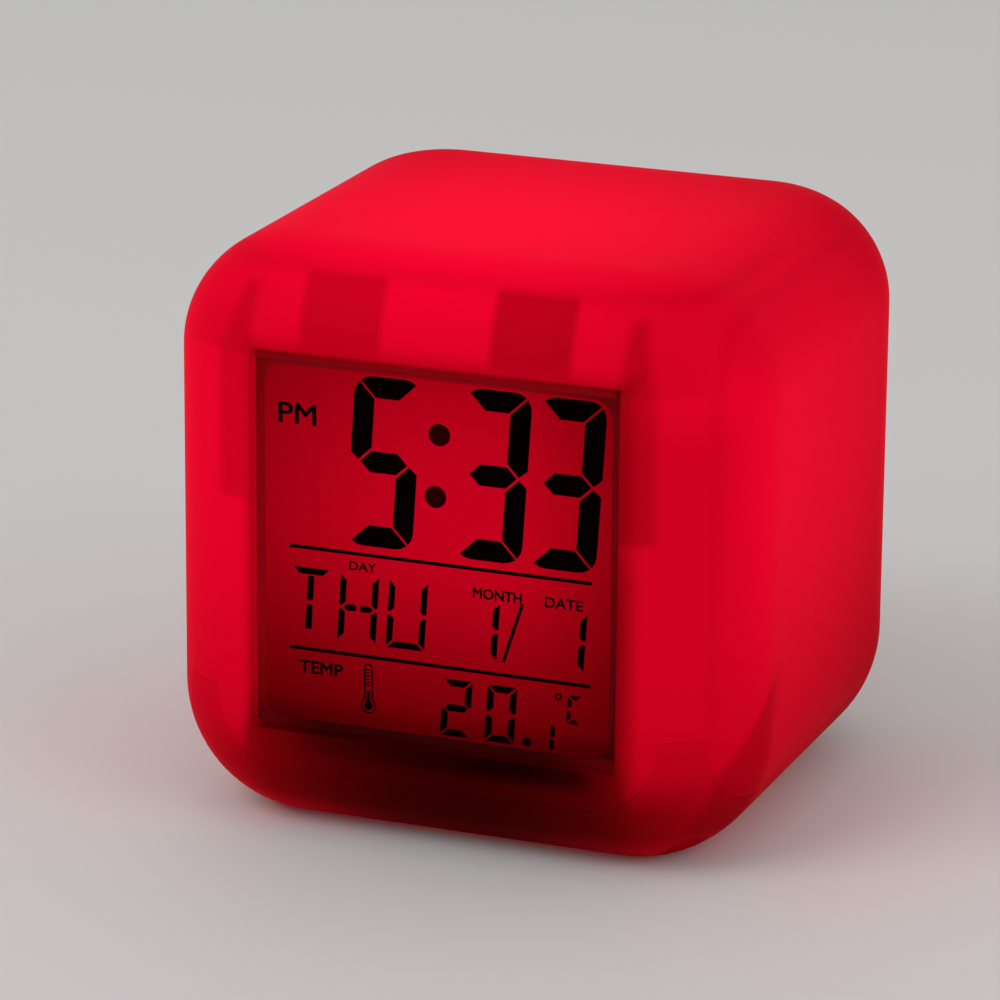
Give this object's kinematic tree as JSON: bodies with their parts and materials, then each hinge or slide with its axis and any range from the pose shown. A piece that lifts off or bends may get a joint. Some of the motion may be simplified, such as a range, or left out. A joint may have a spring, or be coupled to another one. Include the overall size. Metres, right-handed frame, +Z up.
{
  "type": "digital led desk clock",
  "caption": "Rounded cube desk clock with a milky plastic case lit red from inside and a square display showing time, date and temperature.",
  "frame": {"origin": "centre of the case's footprint, on the surface that it stands on", "axes": "+Z up, -Y out of the display at the front, +X to the right of someone who faces the display"},
  "size_m": [0.08, 0.078, 0.077],
  "materials": {
    "milky_plastic": "satin",
    "base_plastic": "satin",
    "lens_clear": "gloss",
    "holder_plastic": "matte",
    "lcd_glass": "gloss",
    "lcd_ink": "matte",
    "diffuser_film": "matte",
    "ribbon_film": "satin",
    "panel_plastic": "satin",
    "button_plastic": "satin",
    "board_green": "satin",
    "black_plastic": "matte",
    "bare_metal": "satin",
    "spring_metal": "satin",
    "lamp_clear": "gloss",
    "cell_jacket": "satin",
    "wire_red": "satin",
    "wire_black": "satin",
    "wire_white": "satin",
    "sensor_epoxy": "gloss"
  },
  "bodies": {
    "case": {"outer_shell": "milky_plastic", "base": "base_plastic", "base_screws": "bare_metal", "display_lens": "lens_clear", "lcd_holder": "holder_plastic", "lcd_front_glass": "lcd_glass", "lcd_segments": "lcd_ink", "lcd_rear_glass": "lcd_glass", "lcd_diffuser": "diffuser_film", "lcd_retainer": "holder_plastic", "lcd_ribbon": "ribbon_film", "rear_panel": "panel_plastic", "main_board": "board_green", "board_screws": "bare_metal", "clock_chip": "black_plastic", "crystal": "bare_metal", "capacitor": "black_plastic", "board_resistors": "black_plastic", "push_switches": "black_plastic", "light_switch_body": "bare_metal", "sounder": "black_plastic", "temperature_sensor": "sensor_epoxy", "light_board": "board_green", "light_board_screws": "bare_metal", "lamp_driver": "black_plastic", "wire_negative": "wire_black", "wire_positive": "wire_red", "link_wires": "wire_white", "lamp_1": "lamp_clear", "battery_1": "cell_jacket", "lamp_2": "lamp_clear", "battery_2": "cell_jacket", "lamp_3": "lamp_clear", "battery_3": "cell_jacket", "lamp_4": "lamp_clear", "battery_4": "cell_jacket", "contact_bridge_front": "spring_metal", "contact_bridge_middle": "spring_metal", "contact_bridge_rear": "spring_metal", "contact_negative": "spring_metal", "contact_positive": "spring_metal"},
    "battery_door": {"battery_door": "base_plastic"},
    "light_switch": {"light_switch_knob": "button_plastic"},
    "mode_button": {"button_mode": "button_plastic", "plunger_mode": "black_plastic"},
    "set_button": {"button_set": "button_plastic", "plunger_set": "black_plastic"},
    "down_button": {"button_down": "button_plastic", "plunger_down": "black_plastic"},
    "up_button": {"button_up": "button_plastic", "plunger_up": "black_plastic"},
    "snooze_button": {"button_snooze": "button_plastic", "plunger_snooze": "black_plastic"}
  },
  "joints": [
    {"name": "mode_press", "type": "slide", "parent": "case", "child": "mode_button", "axis": [0, -1, 0], "range_m": [0, 0.0008], "stiffness_N_per_m": 400},
    {"name": "set_press", "type": "slide", "parent": "case", "child": "set_button", "axis": [0, -1, 0], "range_m": [0, 0.0008], "stiffness_N_per_m": 400},
    {"name": "down_press", "type": "slide", "parent": "case", "child": "down_button", "axis": [0, -1, 0], "range_m": [0, 0.0008], "stiffness_N_per_m": 400},
    {"name": "up_press", "type": "slide", "parent": "case", "child": "up_button", "axis": [0, -1, 0], "range_m": [0, 0.0008], "stiffness_N_per_m": 400},
    {"name": "snooze_press", "type": "slide", "parent": "case", "child": "snooze_button", "axis": [0, -1, 0], "range_m": [0, 0.0008], "stiffness_N_per_m": 400},
    {"name": "light_switch_slide", "type": "slide", "parent": "case", "child": "light_switch", "axis": [1, 0, 0], "range_m": [0, 0.003]},
    {"name": "battery_door_hinge", "type": "hinge", "parent": "case", "child": "battery_door", "pos_m": [0, -0.0232, 0], "axis": [-1, 0, 0], "range_deg": [0, 75]}
  ]
}
